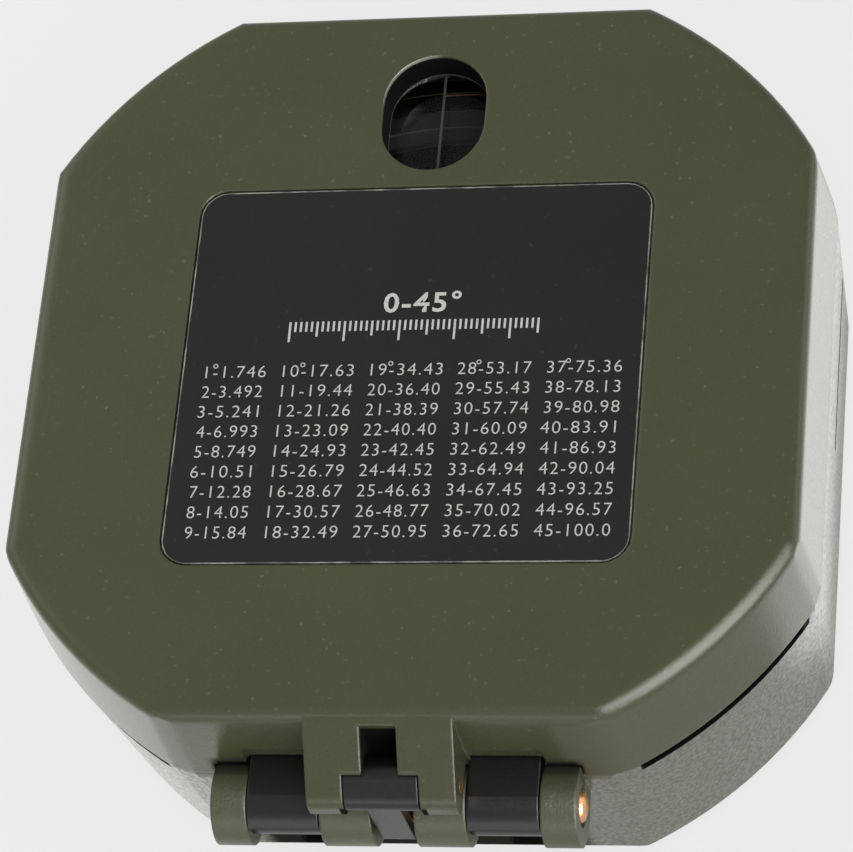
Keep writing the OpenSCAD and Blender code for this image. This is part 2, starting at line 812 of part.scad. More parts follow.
module sight_arm() {
    color("#26272a")
    difference() {
        union() {
            both_sides() {
                along_x(barrel_in, barrel_out, sight_y, sight_z, eye_r);
                intersection() {
                    along_x(barrel_in, barrel_out, sight_y, sight_z, hood_r);
                    block(barrel_in, barrel_out, sight_y - far, sight_y + 2, arm_low + 0.4, arm_top);
                }
                block(barrel_in, barrel_out, sight_y, root_end - 2, arm_low, arm_top);
                block(ear_in, ear_out, peep_y - 2, peep_y + 1.6, arm_top - 0.5, peep_z);
                along_x(ear_in, ear_out, peep_y, peep_z, ear_r);
            }
            block(-barrel_out, barrel_out, root_end - cross_w, root_end, arm_low, arm_top);
            block(-arm_half, arm_half, root_end - 2, arm_end - arm_half, arm_low, arm_top);
            translate([0, arm_end - arm_half, 0])
                disc(arm_half, arm_low, arm_top);
        }
        along_x(-far, far, sight_y, sight_z, sight_pin_r + turn_fit);
        along_x(-far, far, peep_y, peep_z, peep_pin_r + set_fit);
        block(-arm_slot_half, arm_slot_half, root_end + 3, root_end + 3 + arm_slot_l,
            arm_low - 1, arm_top + 1);
    }
}

module peep_pin() {
    color("#b87a3c")
        along_x(-ear_out, ear_out, peep_y, peep_z, peep_pin_r);
}

module peep_tip() {
    color("#26272a")
    difference() {
        union() {
            along_x(-peep_half, peep_half, peep_y, peep_z, peep_eye_r);
            block(-peep_half, peep_half, peep_y - peep_l, peep_y, peep_z + 0.5 - peep_t, peep_z + 0.5);
        }
        along_x(-far, far, peep_y, peep_z, peep_pin_r + turn_fit);
        translate([0, peep_y - peep_l + 3.5, 0])
            disc(peep_hole_r, arm_top, far);
    }
}

function nose_points() = concat([[slope_top_y, slope_top_z]],
    arc_points(nose_y, nose_z, nose_r, nose_turn, 180, arc_steps));

module tongue() {
    side_profile(tongue_half)
        polygon(concat([[lid_wall - case_half, tongue_low], [lid_wall - case_half, case_h - 0.4]],
            nose_points(), [[tongue_front, tongue_low + 0.3], [tongue_front + 0.3, tongue_low]]));
}

module wall_relief() {
    translate([0, -case_half - 0.1, 0])
        rotate([90, 0, 0])
            linear_extrude(height = 4)
                polygon(concat([[tongue_half + 0.2, lid_bottom - 1], [slot_out, lid_bottom - 1]],
                    arc_points(slot_out - 0.9, slot_top + relief_h - 0.9, 0.9, 0, 90, arc_steps),
                    [[tongue_half + 0.2, slot_top + relief_h]]));
}

module arm_slot() {
    translate([0, -case_half + 2, 0])
        rotate([90, 0, 0])
            linear_extrude(height = 12, center = true)
                polygon(concat([[tongue_half - 0.1, lid_bottom - 1], [slot_out, lid_bottom - 1]],
                    arc_points(slot_out - 0.9, slot_top - 0.9, 0.9, 0, 90, arc_steps),
                    [[tongue_half - 0.1, slot_top]]));
}

module lid() {
    color("#4d5038")
    difference() {
        union() {
            case_solid(lid_side(seam_half, case_half), lid_side(seam_r, corner_r),
                lid_plane(eased(seam_half, seam_r), eased(case_half, corner_r)));
            tongue();
            along_x(-lid_knuckle_half, lid_knuckle_half, rear_y, rear_z, lid_lug_r);
            block(-lid_knuckle_half, lid_knuckle_half, rear_y - lid_lug_r, rear_y + 1.4,
                rear_z + 0.7, rear_z + 4);
        }
        disc(lid_hollow_r, lid_bottom - 6, lid_ceiling);
        translate([0, window_y, 0])
            linear_extrude(height = far)
                polygon(obround(window_w, window_l));
        translate([0, plate_y, case_h - plate_t - plate_sink])
            linear_extrude(height = far)
                polygon(round_rect(plate_w + 2 * plate_gap, plate_l + 2 * plate_gap,
                    plate_corner + plate_gap));
        along_x(-lug_out - 0.25, lug_out + 0.25, sight_y, sight_z, hood_r + open_gap);
        both_sides() {
            along_x(rear_lug_in - 0.1, rear_lug_out + 0.25, rear_y, rear_z, lid_lug_r + open_gap);
            arm_slot();
            wall_relief();
        }
        along_x(-far, far, rear_y, rear_z, lid_pin_r + turn_fit);
        along_x(-head_slot, head_slot, flip_y, flip_z, sight_hood_r + 0.2);
        block(-head_slot, head_slot, flip_y - far, flip_y, tongue_low - 1, flip_z + 0.2);
        block(-blade_slot, blade_slot, tongue_front - 2, -case_half - 0.35, tongue_low - 3, case_h + 2);
        along_x(-far, far, flip_y, flip_z, front_pin_r + set_fit);
    }
}

module lid_mirror() {
    color("#cdd6da")
    difference() {
        disc(lid_hollow_r - 0.4, mirror_z, mirror_z + mirror_t);
        translate([0, window_y, 0])
            linear_extrude(height = far)
                polygon(obround(window_w + 2 * window_lap + 0.1, window_l + 2 * window_lap + 0.1));
    }
}

module mirror_ring() {
    color("#2a2b2a")
        ring(lid_hollow_r - 0.05 - clamp_w, lid_hollow_r - 0.05, mirror_z - clamp_t, mirror_z);
}

module window_glass() {
    color("#dfe8ea", 0.35)
        translate([0, window_y, lid_ceiling - window_glass_t - 0.1])
            linear_extrude(height = window_glass_t)
                polygon(obround(window_w + 2 * window_lap, window_l + 2 * window_lap));
}

module label_plate() {
    color("#1f201f")
        translate([0, plate_y, case_h - plate_t - plate_sink])
            linear_extrude(height = plate_t)
                polygon(round_rect(plate_w, plate_l, plate_corner));
}

module front_sight_pin() {
    color("#b87a3c")
        along_x(-tongue_half, tongue_half, flip_y, flip_z, front_pin_r);
}

module front_sight() {
    color("#26272a")
    difference() {
        union() {
            intersection() {
                along_x(-head_half, head_half, flip_y, flip_z, sight_hood_r);
                side_profile(head_half)
                    polygon(concat([[tongue_front, flip_z + 0.2], [flip_y + 5, flip_z + 0.2]],
                        nose_points()));
            }
            along_x(-head_half, head_half, flip_y, flip_z, sight_eye_r);
            block(-blade_half, blade_half, blade_front, blade_back, flip_z - blade_l, flip_z + 0.6);
            block(-blade_half, blade_half, blade_front + 0.1, flip_y, flip_z - 0.9, flip_z + 0.6);
        }
        along_x(-far, far, flip_y, flip_z, front_pin_r + turn_fit);
    }
}

base_case();
scale_plate();
clinometer_bush();
lifter_post();
crystal_gasket();
crystal();
bezel();
sight_pin();
lid_pin();
azimuth_ring();
adjuster_screw();
lock_plunger();
lifter_lever();
clinometer_lever();
clinometer_spindle();
level_bracket();
vial_holder();
vial();
vial_caps();
round_level_cup();
round_level_glass();
pivot_post();
needle();
needle_cap();
needle_weight();
sight_arm();
peep_pin();
peep_tip();
lid();
lid_mirror();
mirror_ring();
window_glass();
label_plate();
front_sight_pin();
front_sight();
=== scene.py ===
# %% [markdown]
# # A closed pocket compass
# The object is a sighting compass in a square metal case with round corners, painted matt olive.
# A mirror lid closes over the needle, and two black sights fold round the hinge at the front.
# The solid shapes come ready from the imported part, in metres, and this lesson dresses them: light,
# paint, print, glass and the small marks that a solid model leaves out.

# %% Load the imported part
from math import cos, pi, radians, sin, tan

import bmesh
import bpy
from mathutils import Matrix, Vector


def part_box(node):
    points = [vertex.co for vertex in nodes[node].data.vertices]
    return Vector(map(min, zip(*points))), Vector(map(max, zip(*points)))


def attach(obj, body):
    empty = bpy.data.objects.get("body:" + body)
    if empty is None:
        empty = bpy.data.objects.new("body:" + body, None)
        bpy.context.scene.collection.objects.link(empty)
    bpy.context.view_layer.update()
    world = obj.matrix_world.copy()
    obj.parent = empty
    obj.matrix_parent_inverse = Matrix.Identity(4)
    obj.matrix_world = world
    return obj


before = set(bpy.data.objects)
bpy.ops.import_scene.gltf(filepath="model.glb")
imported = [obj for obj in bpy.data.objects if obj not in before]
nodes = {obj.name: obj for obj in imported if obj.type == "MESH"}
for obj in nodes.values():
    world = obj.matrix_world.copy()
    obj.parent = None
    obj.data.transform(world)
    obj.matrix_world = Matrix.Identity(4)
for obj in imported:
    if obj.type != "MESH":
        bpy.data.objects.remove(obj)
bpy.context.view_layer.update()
MM = 0.001

# %% [markdown]
# ## The camera
# The photograph was taken from the front right and well above, with a long lens. The place of the
# camera was found by fitting the straight edges of the lid to their places in the picture, so the
# camera is set by its three axes instead of by turning it by eye.

# %% Camera
PICTURE_WIDTH = 853  # pixels
FOCAL_LENGTH = 4044.7  # pixels
SENSOR = 36  # millimetres
CAMERA_PLACE = Vector((76.613, -163.283, 337.329))  # millimetres
VIEW_RIGHT = Vector((0.97717, 0.08441, -0.19496))
VIEW_UP = Vector((0.01282, 0.89257, 0.45073))
VIEW_BACK = Vector((0.21206, -0.44294, 0.87111))

camera_data = bpy.data.cameras.new("photo_camera")
camera_data.sensor_fit = "HORIZONTAL"
camera_data.sensor_width = SENSOR
camera_data.lens = FOCAL_LENGTH * SENSOR / PICTURE_WIDTH
camera_data.clip_start = 0.01
camera = bpy.data.objects.new("photo_camera", camera_data)
axes = Matrix((VIEW_RIGHT, VIEW_UP, VIEW_BACK)).transposed().to_4x4()
camera.matrix_world = Matrix.Translation(CAMERA_PLACE * MM) @ axes
bpy.context.scene.collection.objects.link(camera)
bpy.context.scene.camera = camera
bpy.context.scene.view_settings.view_transform = "Standard"
print("camera lens", round(camera_data.lens, 1), "mm")

# %% [markdown]
# ## Writing paint as sums
# A finish is a small tree of nodes. Linking each Math node by hand is slow to write and to read, so
# a class wraps a node's output and lets Python's own signs add the Math nodes.

# %% Value
class Value:
    """An output of a finish that ordinary sums can use."""

    def __init__(self, finish, socket):
        self.finish = finish
        self.socket = socket

    def __add__(self, other):
        return self.finish.maths("ADD", self, other)

    def __radd__(self, other):
        return self.finish.maths("ADD", other, self)

    def __sub__(self, other):
        return self.finish.maths("SUBTRACT", self, other)

    def __rsub__(self, other):
        return self.finish.maths("SUBTRACT", other, self)

    def __mul__(self, other):
        return self.finish.maths("MULTIPLY", self, other)

    def __rmul__(self, other):
        return self.finish.maths("MULTIPLY", other, self)

    def __gt__(self, other):
        return self.finish.maths("GREATER_THAN", self, other)

    def __lt__(self, other):
        return self.finish.maths("LESS_THAN", self, other)

    def __abs__(self):
        return self.finish.maths("ABSOLUTE", self)


print("sums ready")

# %% [markdown]
# ## Finishes
# Every surface here gets a material with one Principled shader. A second class holds the two and makes
# any node from its type, its settings and its sockets. The short methods below it name what the
# finishes use most: noise, ramps, mixes and relief. Sizes are in millimetres, and patterns follow the
# piece's own coordinates, so that they move with it.

# %% Finish
MIX_FACTOR, MIX_FIRST, MIX_SECOND, MIX_COLOUR = 0, 6, 7, 2  # the Mix node's sockets for colours


class Finish:
    """A material with a Principled shader, and the nodes that feed it."""

    def __init__(self, name, **sockets):
        self.material = bpy.data.materials.new(name)
        self.material.use_nodes = True
        self.tree = self.material.node_tree
        self.shader = self.tree.nodes["Principled BSDF"]
        self.set(sockets)

    def feed(self, socket, value):
        if isinstance(value, Value):
            self.tree.links.new(value.socket, socket)
        elif hasattr(socket.default_value, "__len__") and len(socket.default_value) == 4:
            socket.default_value = (*value[:3], 1)
        else:
            socket.default_value = value

    def set(self, sockets):
        for name, value in sockets.items():
            self.feed(self.shader.inputs[name.replace("_", " ")], value)

    def node(self, kind, settings=None, sockets=None, output=0):
        made = self.tree.nodes.new(kind)
        for name, value in (settings or {}).items():
            if name == "stops":
                ramp = made.color_ramp
                while len(ramp.elements) < len(value):
                    ramp.elements.new(0.5)
                for element, (place, shade) in zip(ramp.elements, value):
                    element.position = place
                    element.color = (shade, shade, shade, 1)
            else:
                setattr(made, name, value)
        for key, value in (sockets or {}).items():
            self.feed(made.inputs[key], value)
        return Value(self, made.outputs[output])

    def maths(self, operation, first, second=0.0):
        return self.node("ShaderNodeMath", {"operation": operation}, {0: first, 1: second})

    def place(self):
        return self.node("ShaderNodeTexCoord", output="Object")

    def parts(self, vector):
        made = self.node("ShaderNodeSeparateXYZ", {}, {0: vector})
        outputs = made.socket.node.outputs
        return [Value(self, outputs[k]) for k in range(3)]

    def noise(self, size, detail=3, rough=0.55):
        """Cloudy variation whose blots are about size millimetres across."""
        sockets = {"Vector": self.place(), "Scale": 1 / (size * MM), "Detail": detail, "Roughness": rough}
        return self.node("ShaderNodeTexNoise", {}, sockets)

    def ramp(self, value, stops):
        return self.node("ShaderNodeValToRGB", {"stops": stops}, {0: value})

    def mix(self, factor, first, second):
        sockets = {MIX_FACTOR: factor, MIX_FIRST: first, MIX_SECOND: second}
        return self.node("ShaderNodeMix", {"data_type": "RGBA"}, sockets, MIX_COLOUR)

    def bump(self, height, depth, strength=1.0, normal=None):
        """Relief whose full height is depth millimetres."""
        sockets = {"Height": height, "Distance": depth * MM, "Strength": strength}
        if normal:
            sockets["Normal"] = normal
        return self.node("ShaderNodeBump", {}, sockets)

    def rounded(self, radius):
        """The surface's normal with its sharp edges eased to a radius in millimetres."""
        return self.node("ShaderNodeBevel", {"samples": 6}, {"Radius": radius * MM})

    def edges(self, radius):
        """1 along sharp edges, fading to 0 within the radius."""
        sockets = {0: self.rounded(radius), 1: self.node("ShaderNodeNewGeometry", output="Normal")}
        along = self.node("ShaderNodeVectorMath", {"operation": "DOT_PRODUCT"}, sockets, "Value")
        return self.ramp(1 - along, [(0.01, 0), (0.16, 1)])


print("finish tools ready")

# %% [markdown]
# ## Floor
# The real picture is a cut-out on a pale ground. A wide floor in that tone carries the object's
# shadow. More light would burn out the compass, so the camera and reflections see the floor mostly
# at its own tone instead, which keeps it even.

# %% Floor
GROUND = (0.885, 0.885, 0.885)
EYE_SHARE = 0.82  # how far the camera sees the plain tone
GLOSS_SHARE = 0.6  # how far reflections see it
FLOOR_HALF, FLOOR_Z = 3, -0.0001  # metres

ground = Finish("pale_ground", Base_Color=GROUND, Roughness=0.9)
rays = ground.node("ShaderNodeLightPath").socket.node.outputs
by_eye = Value(ground, rays["Is Camera Ray"]) + Value(ground, rays["Is Transmission Ray"])
seen = by_eye * EYE_SHARE + Value(ground, rays["Is Glossy Ray"]) * GLOSS_SHARE
shown = ground.maths("MINIMUM", seen, EYE_SHARE)
glow = ground.node("ShaderNodeEmission", {}, {"Color": GROUND, "Strength": 1.0}, "Emission")
lit = Value(ground, ground.shader.outputs[0])
blended = ground.node("ShaderNodeMixShader", {}, {0: shown, 1: lit, 2: glow})
ground.tree.links.new(blended.socket, ground.tree.nodes["Material Output"].inputs["Surface"])

floor_mesh = bpy.data.meshes.new("floor")
floor_signs = ((-1, -1), (1, -1), (1, 1), (-1, 1))
floor_corners = [(FLOOR_HALF * x, FLOOR_HALF * y, FLOOR_Z) for x, y in floor_signs]
floor_mesh.from_pydata(floor_corners, [], [(0, 1, 2, 3)])
floor_mesh.materials.append(ground.material)
floor = bpy.data.objects.new("floor", floor_mesh)
bpy.context.scene.collection.objects.link(floor)
print("floor", 2 * FLOOR_HALF, "m wide")

# %% [markdown]
# ## World and lamps
# A white world fills. Two soft lamps, in front and behind at the left, light the top. The walls are
# glossy, so their tone is mostly what they mirror: three white cards on the floor and three panels
# show only as reflections and light nothing else. The cards beside the case whiten the side walls,
# and a small weak one in front lightens the sight's blade. The panels at the right and the front
# right draw the pale line along the rounded edge. The one in front lightens barrels and knuckles.

# %% World and lamps
WORLD_STRENGTH = 0.45
AIM = (0, 0, 0.02)  # metres, as all places and sizes of lamps
CARD_Z = 0.001

world = bpy.data.worlds.new("studio")
world.use_nodes = True
world.node_tree.nodes["Background"].inputs["Color"].default_value = (1, 1, 1, 1)
world.node_tree.nodes["Background"].inputs["Strength"].default_value = WORLD_STRENGTH
bpy.context.scene.world = world


def soft_lamp(name, place, target, width, height, power, lights="all"):
    """A rectangular lamp that faces a target, in watts; lights is all, matt or gloss."""
    data = bpy.data.lights.new(name, "AREA")
    data.shape = "RECTANGLE"
    data.size = width
    data.size_y = height
    data.energy = power
    lamp = bpy.data.objects.new(name, data)
    lamp.location = place
    lamp.rotation_euler = (Vector(target) - Vector(place)).to_track_quat("-Z", "Y").to_euler()
    lamp.visible_camera = False
    lamp.visible_diffuse = lights != "gloss"
    lamp.visible_glossy = lights != "matt"
    bpy.context.scene.collection.objects.link(lamp)


def floor_card(name, x, y, width, depth, power):
    """A card that lies on the floor, faces up and shows only in gloss."""
    soft_lamp(name, (x, y, CARD_Z), (x, y, 1), width, depth, power, "gloss")


soft_lamp("key_lamp", (0.20, -0.55, 0.70), AIM, 0.60, 0.50, 2.1, "matt")
soft_lamp("back_left_lamp", (-0.46, 0.22, 0.34), AIM, 0.45, 0.40, 0.9)
floor_card("right_card", 0.070, 0.019, 0.062, 0.088, 0.0277)
floor_card("left_card", -0.0585, -0.032, 0.077, 0.044, 0.0075)
floor_card("front_card", -0.006, -0.052, 0.011, 0.026, 0.00025)
soft_lamp("edge_panel", (0.42, -0.285, 0.36), AIM, 0.45, 1.0, 15.5, "gloss")
soft_lamp("right_panel", (0.60, 0.31, 0.17), AIM, 0.50, 0.25, 0.9, "gloss")
soft_lamp("front_panel", (-0.15, -0.80, 0.19), AIM, 0.90, 0.34, 2.2, "gloss")

# %% [markdown]
# ## Eased edges
# Painted castings have no sharp edges, and the lid's brim is broader than in the solid. Rounding the
# solids would change their shape, so a bevel node eases the shading alone: a little everywhere, and
# more where a flat wall turns into a round corner and along the brim. A mask says where: a value that
# is 1 at the wanted place and 0 elsewhere, worked out from the place on the piece.

# %% Eased edges
EDGE_EASE, CORNER_EASE, BRIM_EASE = 0.35, 1.4, 0.9  # millimetres, as all sizes of masks
CORNER_TURN, CORNER_R = (17.5, 20.9), 36
SEAM_Z, SEAM_HALF = 20.2, 1.2
BRIM_Z, BRIM_HALF, BRIM_R = 28.6, 32.6, 38
TONGUE_HALF, TONGUE_ROOT = 7.5, -30


def most(first, *others):
    """The largest of several values."""
    for other in others:
        first = first.finish.maths("MAXIMUM", first, other)
    return first


def within(value, low, high):
    """1 where a value lies between two limits in millimetres, and 0 elsewhere."""
    return (value > low * MM) * (value < high * MM)


def eased_normal(paint, x, y, z):
    """The normal with sharp edges eased, most at the case's corners and the lid's brim."""
    squared = x * x + y * y
    corner = within(paint.maths("MINIMUM", abs(x), abs(y)), *CORNER_TURN)
    corner = corner * (squared > (CORNER_R * MM) ** 2) * (z < BRIM_Z * MM)
    corner = corner * (abs(z - SEAM_Z * MM) > SEAM_HALF * MM)
    outer = most(most(abs(x), abs(y)) > BRIM_HALF * MM, squared > (BRIM_R * MM) ** 2)
    on_tongue = (abs(x) < TONGUE_HALF * MM) * (y < TONGUE_ROOT * MM)
    brim = (z > BRIM_Z * MM) * outer * (1 - on_tongue)
    radius = EDGE_EASE * MM + corner * (CORNER_EASE * MM) + brim * (BRIM_EASE * MM)
    return paint.node("ShaderNodeBevel", {"samples": 8}, {"Radius": radius})


print("edges eased by", EDGE_EASE, "mm")

# %% [markdown]
# ## Olive paint
# The case is cast metal under a matt olive enamel. Close up it is finely grained with a few pale
# flecks, and the base is grainier than the lid. A picture of paint would need unwrapping, and noise in
# the piece's own coordinates needs none. One function makes both paints, with the grain as a number.

# %% Olive paint
OLIVE = (0.0795, 0.0838, 0.040)
OLIVE_GRAIN = (0.11, 0.115, 0.06)
OLIVE_FLECK = (0.32, 0.33, 0.24)
OLIVE_RUBBED_AND_LIT = (0.15, 0.155, 0.09)


def olive_paint(name, grain, rough, gloss):
    """Olive enamel; gives the finish, its shade, its roughness and the place along three axes."""
    paint = Finish(name, Specular_IOR_Level=gloss)
    x, y, z = paint.parts(paint.place())
    cloud = paint.noise(16, 3)
    fine = paint.noise(0.30, 3)
    fleck = paint.ramp(paint.noise(0.5, 2), [(0.68, 0), (0.74, 1)])
    shade = paint.mix(cloud, [0.86 * c for c in OLIVE], [1.14 * c for c in OLIVE])
    shade = paint.mix(fine * 0.2 * grain, shade, OLIVE_GRAIN)
    shade = paint.mix(fleck * 0.26, shade, OLIVE_FLECK)
    # paler edges: partly rubbed paint, partly a painted highlight along every sharp edge
    shade = paint.mix(paint.edges(0.3) * 0.30, shade, OLIVE_RUBBED_AND_LIT)
    normal = eased_normal(paint, x, y, z)
    paint.set({"Normal": paint.bump(fine, 0.05 * grain - 0.032, 1.0, normal)})
    return paint, shade, rough + 0.12 * (fine - 0.5), x, y, z


print("olive paint ready")

# %% [markdown]
# ## The lid's window
# The oval window has a dull black bore, a grey line where its glass is seated and a painted highlight,
# a pale line on the rear left of its rim. They could be pieces of their own, but they are faces of one
# casting, so masks find them. The distance to the window's short middle line is the same all round an
# oval.

# %% Lid: window
WINDOW_STRAIGHT = 1.25  # half of the window's straight sides
BORE_R, BORE_TOP, SEAT_TOP = 4.79, 30.75, 27.95
RIM_R, RIM_FADE = (4.72, 4.82), (5.2, 7.2)


def distance(across, along):
    """How far away a place is, from two distances at right angles."""
    return across.finish.maths("SQRT", across * across + along * along)


def fade(value, none, full):
    """0 where the value is at none, 1 where it is at full, in millimetres, and smooth between."""
    sockets = {"Value": value, "From Min": none * MM, "From Max": full * MM, "To Min": 0.0, "To Max": 1.0}
    return value.finish.node("ShaderNodeMapRange", {"interpolation_type": "SMOOTHSTEP"}, sockets)


lid_paint, shade, rough, x, y, z = olive_paint("olive_lid_paint", grain=1.0, rough=0.29, gloss=0.32)
window_low, window_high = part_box("window_glass")
window_mid = 0.5 * (window_low[1] + window_high[1])
from_middle = distance(x, most(abs(y - window_mid) - WINDOW_STRAIGHT * MM, 0.0))
in_window = (from_middle < BORE_R * MM) * (z < BORE_TOP * MM)
seat_line = in_window * (z < SEAT_TOP * MM)
# painted highlight: a pale line on the rear left of the rim, where the rim would catch the light
painted_rim_highlight = within(from_middle, *RIM_R) * (z > BORE_TOP * MM) * fade(y - window_mid - x, *RIM_FADE)
print("window", round(window_mid / MM, 2), "mm behind the middle")

# %% [markdown]
# ## The lid's hollow, tongue and hinge
# The hollow under the lid, the slot in its tongue and the shade over the hinge lugs are painted black as
# painted shade, with soft sides where the photograph has them. A painted highlight runs along the edge of
# the reliefs beside the tongue. Beside the copper pin the wall is duller, so that it doesn't mirror the
# pin's bright end.

# %% Lid: hollow, tongue and hinge
HOLLOW_R, HOLLOW_TOP = 33.02, 27.85
TONGUE_Y = -35.2
SLOPE_Y, SLOPE_Z, SLOPE_FALL = -34.55, 30.84, 0.75
SLOT_HALF, SLOT_FADE = 3.8, (0.25, 0.8)
SIGHT_Y, SIGHT_Z = -38.1, 19.1
LUG_FROM, LUG_SIDE_FADE, LUG_FADE = 12.7, (16.9, 15.6), (5.2, 4.1)
RELIEF_X, RELIEF_Z, RELIEF_HALF = (6.6, 12.5), 25.04, 0.06
PIN_X, PIN_FADE, PIN_WALL, PIN_TOP = 17.2, (3.2, 1.6), -33, 29.5

# painted shade: the hollow, the slot and the lid's wall over the lugs are painted black where shade falls
painted_hollow_shade = (x * x + y * y < (HOLLOW_R * MM) ** 2) * (z < HOLLOW_TOP * MM)
below_slope = SLOPE_Z * MM + SLOPE_FALL * (y - SLOPE_Y * MM) - z
painted_slot_shade = (abs(x) < SLOT_HALF * MM) * (y < TONGUE_Y * MM) * fade(below_slope, *SLOT_FADE)
from_hinge = distance(y - SIGHT_Y * MM, z - SIGHT_Z * MM)
painted_lug_shade = (abs(x) > LUG_FROM * MM) * fade(abs(x), *LUG_SIDE_FADE) * fade(from_hinge, *LUG_FADE)
# painted highlight: a pale line along the relief's edge, where that edge would catch the light
painted_relief_highlight = within(abs(x), *RELIEF_X) * (y < TONGUE_Y * MM)
painted_relief_highlight = painted_relief_highlight * (abs(z - RELIEF_Z * MM) < RELIEF_HALF * MM)
beside_pin = fade(abs(x - PIN_X * MM), *PIN_FADE) * (y < PIN_WALL * MM) * (z < PIN_TOP * MM)
print("masked the lid's hollow, slot, lugs, reliefs and pin")

# %% [markdown]
# ## The lid's paint
# The lid is put together in layers: olive, dull black where a mask says so, which is black paint in the
# bore and painted shade elsewhere, then a painted highlight along the relief's edge and the two lines of
# the window, the one on the rim a painted highlight. The black is a dark rough metal, because that
# mirrors next to nothing, where a dark paint keeps a grey sheen.

# %% Lid paint
# dull black, also the colour of painted shade
DULL_BLACK = (0.006, 0.006, 0.006)
RELIEF_HIGHLIGHT_TONE = (0.30, 0.30, 0.20)
RIM_HIGHLIGHT_TONE = (0.45, 0.45, 0.38)
SEAT_TONE = (0.10, 0.10, 0.10)


def blacken(paint, where, shade, rough):
    """Paint with a dull black, which hardly mirrors anything, where the mask is 1, for black paint and
    painted shade.
    """
    paint.set({"Roughness": rough + where * (1 - rough), "Metallic": where})
    return paint.mix(where, shade, DULL_BLACK)


def dress(material, *names):
    """Give nodes one material."""
    for name in names:
        nodes[name].data.materials.clear()
        nodes[name].data.materials.append(material)


# black paint in the bore, painted shade in the hollow, slot and over the lugs
black_and_painted_shade = most(in_window - seat_line, painted_hollow_shade, painted_slot_shade, painted_lug_shade)
shade = blacken(lid_paint, black_and_painted_shade, shade, rough + 0.4 * beside_pin)
shade = lid_paint.mix(painted_relief_highlight * 0.5, shade, RELIEF_HIGHLIGHT_TONE)
shade = lid_paint.mix(painted_rim_highlight, shade, RIM_HIGHLIGHT_TONE)
lid_paint.set({"Base Color": lid_paint.mix(seat_line, shade, SEAT_TONE)})
dress(lid_paint.material, "lid")
print("painted the lid with", len(lid_paint.tree.nodes), "nodes")

# %% [markdown]
# ## The base's pockets
# The wall behind the front hinge lies deep between the knuckles and the lugs and looks nearly black. The
# pale floor would light it more than the photograph shows, so its paint is darkened with painted shade,
# most near the foot, and with soft sides under the lugs.

# %% Base: pockets
KNUCKLE_IN, KNUCKLE_OUT, LUG_IN = 2.1, 6.2, 13.05
POCKET_Y, POCKET_TOP, POCKET_FOOT = (-36.3, -32.4), 19.3, 0.05
UNDER_LEFT, UNDER_RIGHT, UNDER_TOP = (-16.9, -15.1), (14.4, 12.8), 15.9
POCKET_SHADE, FOOT_SHADE, FOOT_FADE = 0.7, 0.27, (8, 4.5)

base_paint, shade, rough, x, y, z = olive_paint("olive_base_paint", grain=1.6, rough=0.42, gloss=0.45)
# painted shade: darkening between and under the knuckles and lugs, most near the foot
between = (abs(x) < KNUCKLE_IN * MM) + within(abs(x), KNUCKLE_OUT, LUG_IN)
under = fade(x, *UNDER_LEFT) * fade(x, *UNDER_RIGHT) * (z < UNDER_TOP * MM)
behind = most(between * (z < POCKET_TOP * MM), under)
pocket_shade_depth = POCKET_SHADE + FOOT_SHADE * fade(z, *FOOT_FADE)
painted_pocket_shade = behind * within(y, *POCKET_Y) * (z > POCKET_FOOT * MM) * pocket_shade_depth
print("masked the base's pockets up to", POCKET_TOP, "mm")

# %% [markdown]
# ## The base's bowl, grooves and gaps
# The bowl that holds the needle and the thin grooves in the side walls are black. The line at the seam on
# the round corners and, less so, the narrow gaps over the lugs are painted shade in black. A short
# stretch of the bowl's rim at the rear, below the window, carries a painted highlight in a warm tone.

# %% Base: bowl, grooves and gaps
BOWL_R, BOWL_FLOOR = 33.0, 4.1
GROOVE_X, GROOVE_Y, GROOVE_Z = (33, 35.2), 8.5, 11
GROOVE_HALF_LENGTH, GROOVE_HALF_WIDTH = 8.8, 0.42
CORNER_FROM, SEAM_R, SEAM_FOOT = CORNER_TURN[1], (39.7, 40.56), 18.9
GAP_X, GAP_Y, GAP_FOOT, GAP_FADE, GAP_SHADE = (12.7, 16.1), -30, 19, (-37.0, -36.2), 0.7
RIM_LIGHT_R, RIM_LIGHT_X, RIM_LIGHT_HALF, RIM_LIGHT_FOOT = (32.73, 32.87), 0.3, 2.1, 20

from_centre = distance(x, y)
in_bowl = (from_centre < BOWL_R * MM) * (z > BOWL_FLOOR * MM)
in_groove = within(abs(x), *GROOVE_X) * (abs(y - GROOVE_Y * MM) < GROOVE_HALF_LENGTH * MM)
in_groove = in_groove * (abs(z - GROOVE_Z * MM) < GROOVE_HALF_WIDTH * MM)
# painted shade: the seam's ledge on the round corners is painted black where the gap is in shade
painted_seam_shade = (abs(x) > CORNER_FROM * MM) * (abs(y) > CORNER_FROM * MM)
painted_seam_shade = painted_seam_shade * within(from_centre, *SEAM_R) * (z > SEAM_FOOT * MM)
# painted shade: the narrow gaps over the lugs are darkened
painted_gap_shade = GAP_SHADE * within(abs(x), *GAP_X) * (y < GAP_Y * MM) * (z > GAP_FOOT * MM) * fade(y, *GAP_FADE)
# painted highlight: a warm pale line on the bowl's rim at the rear, where light comes through the seam
painted_rim_light = within(from_centre, *RIM_LIGHT_R) * (y > 0) * (z > RIM_LIGHT_FOOT * MM)
painted_rim_light = painted_rim_light * (abs(x - RIM_LIGHT_X * MM) < RIM_LIGHT_HALF * MM)
print("masked the base's bowl, grooves, seam and gaps")

# %% [markdown]
# ## The base's paint
# The base is rougher than the lid, with a grain that breaks up its gloss. A coat that comes and goes
# gives that sparkle, because a coat has a normal of its own that the bump doesn't reach. The coat
# leaves out the hinge's knuckles and lugs, which stand out at the front, and the black places, which
# are black paint and painted shade.

